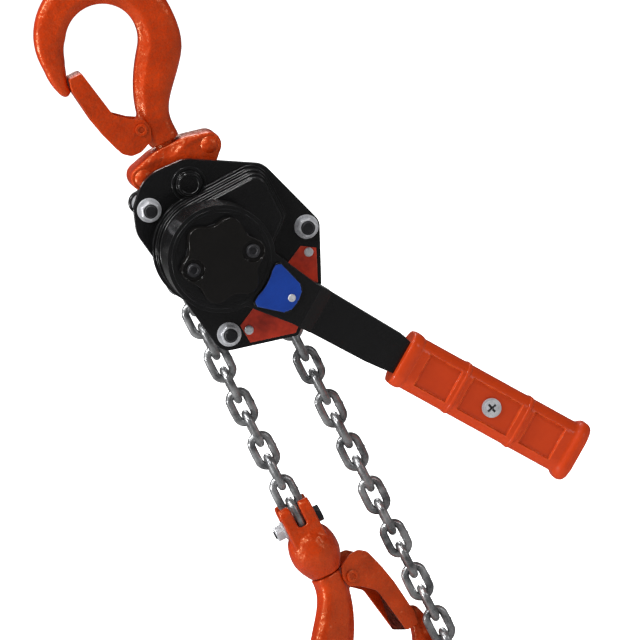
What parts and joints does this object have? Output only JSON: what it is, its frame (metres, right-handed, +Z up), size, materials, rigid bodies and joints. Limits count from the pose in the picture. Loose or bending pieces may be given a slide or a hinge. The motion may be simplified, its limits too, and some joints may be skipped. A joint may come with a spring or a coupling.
{
  "type": "come along winch",
  "caption": "Hand lever chain hoist: load hook on a chain over a pocket wheel, load brake, gear train, ratchet lever with a moulded grip, and a swivel top hook with a sprung latch.",
  "frame": {"origin": "seat of the top hook's bowl, where the hoist hangs from what carries it", "axes": "+Z up along the hanging chain, +X across the side plates towards the slack chain, -Y towards the lever side"},
  "size_m": [0.2595, 0.1428, 0.6104],
  "materials": {
    "orange_paint": "baked gloss enamel over forged steel",
    "black_paint": "satin black enamel over pressed steel",
    "black_plastic": "moulded handwheel, satin",
    "chain_steel": "hardened chain, dull grey zinc",
    "zinc": "bright zinc plate",
    "dark_steel": "oiled machined steel",
    "bronze": "sintered bearing bronze",
    "lining": "pressed friction lining",
    "grip": "orange moulded plastic, fine texture",
    "blue_plate": "blue plate with a raised light rim",
    "red_plate": "printed metal plate, left bare"
  },
  "bodies": {
    "top_hook": {"top_hook": "orange_paint", "top_latch_pin": "zinc", "top_latch_spring": "zinc"},
    "top_latch": {"top_latch": "orange_paint"},
    "top_yoke": {"top_yoke_front": "orange_paint", "top_yoke_back": "orange_paint", "top_yoke_rivets": "orange_paint"},
    "frame": {"side_plate_front": "black_paint", "side_plate_back": "black_paint", "brake_cover": "black_paint", "gear_cover": "black_paint", "stay_bolts": "dark_steel", "stay_spacers": "zinc", "stay_nuts": "zinc", "nameplate": "red_plate", "nameplate_rivets": "zinc", "wheel_bearings": "bronze", "chain_stripper": "dark_steel", "stripper_pins": "zinc", "suspension_pin": "zinc", "pawl_pins": "zinc"},
    "drive": {"drive_shaft": "zinc", "friction_hub": "dark_steel", "friction_nut": "dark_steel", "handwheel_hub": "dark_steel", "handwheel": "black_plastic", "handwheel_screws": "dark_steel"},
    "ratchet": {"ratchet_disc": "dark_steel", "friction_discs": "lining"},
    "pawl_upper": {"ratchet_pawl_upper": "dark_steel"},
    "pawl_lower": {"ratchet_pawl_lower": "dark_steel"},
    "gear_upper": {"disc_gear_upper": "dark_steel"},
    "gear_lower": {"disc_gear_lower": "dark_steel"},
    "wheel": {"pocket_wheel": "dark_steel", "load_gear": "dark_steel", "wrapped_links": "chain_steel"},
    "load_fall": {"load_chain": "chain_steel"},
    "slack_fall": {"slack_chain": "chain_steel", "chain_stop": "zinc"},
    "lever": {"lever_back": "black_paint", "lever_front": "black_paint", "lever_bolts": "dark_steel", "grip": "grip", "grip_screw": "zinc"},
    "selector": {"selector_lever": "black_paint", "selector_plate": "blue_plate", "selector_screw": "zinc", "change_pawl": "dark_steel"},
    "bottom_yoke": {"bottom_yoke_left": "orange_paint", "bottom_yoke_right": "orange_paint", "yoke_bolt": "dark_steel", "yoke_nut": "zinc"},
    "bottom_hook": {"bottom_hook": "orange_paint", "bottom_latch_pin": "zinc", "bottom_latch_spring": "zinc"},
    "bottom_latch": {"bottom_latch": "orange_paint"}
  },
  "joints": [
    {"name": "top_latch_hinge", "type": "hinge", "parent": "top_hook", "child": "top_latch", "pos_m": [-0.0043, 0, -0.0961], "axis": [0, 1, 0], "range_deg": [0, 35], "stiffness_Nm_per_rad": 0.05, "springref_deg": -28.65},
    {"name": "top_swivel", "type": "hinge", "parent": "top_hook", "child": "top_yoke", "pos_m": [0.008, 0, -0.1275], "axis": [0, 0, 1], "continuous": true},
    {"name": "yoke_swing", "type": "hinge", "parent": "top_yoke", "child": "frame", "pos_m": [0.008, 0, -0.145], "axis": [0, 1, 0], "range_deg": [-30, 6]},
    {"name": "handwheel_turn", "type": "hinge", "parent": "frame", "child": "drive", "pos_m": [0.0002, 0, -0.1935], "axis": [0, 1, 0], "range_deg": [-44, 101]},
    {"name": "ratchet_turn", "type": "hinge", "parent": "frame", "child": "ratchet", "pos_m": [0.0002, 0, -0.1935], "axis": [0, 1, 0], "continuous": true},
    {"name": "pawl_upper_lift", "type": "hinge", "parent": "frame", "child": "pawl_upper", "pos_m": [0.0462, 0, -0.1685], "axis": [0, 1, 0], "range_deg": [0, 8], "stiffness_Nm_per_rad": 0.02, "springref_deg": -22.92},
    {"name": "pawl_lower_lift", "type": "hinge", "parent": "frame", "child": "pawl_lower", "pos_m": [0.0492, 0, -0.1915], "axis": [0, 1, 0], "range_deg": [-4, 0], "stiffness_Nm_per_rad": 0.02, "springref_deg": 22.92},
    {"name": "gear_upper_spin", "type": "hinge", "parent": "frame", "child": "gear_upper", "pos_m": [0.00874, 0, -0.16162], "axis": [0, 1, 0], "range_deg": [-44, 44]},
    {"name": "gear_lower_spin", "type": "hinge", "parent": "frame", "child": "gear_lower", "pos_m": [0.00874, 0, -0.22538], "axis": [0, 1, 0], "range_deg": [-44, 44]},
    {"name": "wheel_turn", "type": "hinge", "parent": "frame", "child": "wheel", "pos_m": [0.0002, 0, -0.1935], "axis": [0, 1, 0], "range_deg": [-8, 17]},
    {"name": "load_travel", "type": "slide", "parent": "frame", "child": "load_fall", "axis": [0, 0, 1], "range_m": [-0.004, 0.0085]},
    {"name": "slack_travel", "type": "slide", "parent": "frame", "child": "slack_fall", "axis": [0, 0, 1], "range_m": [-0.0085, 0.004]},
    {"name": "lever_swing", "type": "hinge", "parent": "frame", "child": "lever", "pos_m": [0.0002, 0, -0.1935], "axis": [0, 1, 0], "continuous": true},
    {"name": "selector_throw", "type": "hinge", "parent": "lever", "child": "selector", "pos_m": [0.03247, 0, -0.2417], "axis": [0, 1, 0], "range_deg": [-18, 18]},
    {"name": "bottom_yoke_swing", "type": "hinge", "parent": "load_fall", "child": "bottom_yoke", "pos_m": [-0.02841, 0, -0.40885], "axis": [1, 0, 0], "range_deg": [0, 14]},
    {"name": "bottom_swivel", "type": "hinge", "parent": "bottom_yoke", "child": "bottom_hook", "pos_m": [-0.02841, 0, -0.4335], "axis": [0, 0, 1], "range_deg": [0, 300]},
    {"name": "bottom_latch_hinge", "type": "hinge", "parent": "bottom_hook", "child": "bottom_latch", "pos_m": [-0.01685, 0.00421, -0.46065], "axis": [-0.342, 0.9397, 0], "range_deg": [0, 35], "stiffness_Nm_per_rad": 0.05, "springref_deg": -28.65}
  ],
  "couplings": [
    {"joint": "gear_upper_spin", "follows": "handwheel_turn", "ratio": -0.375},
    {"joint": "gear_lower_spin", "follows": "handwheel_turn", "ratio": -0.375},
    {"joint": "wheel_turn", "follows": "handwheel_turn", "ratio": 0.15726},
    {"joint": "load_travel", "follows": "handwheel_turn", "m_per_rad": 0.0045051},
    {"joint": "slack_travel", "follows": "handwheel_turn", "m_per_rad": -0.0045051}
  ]
}
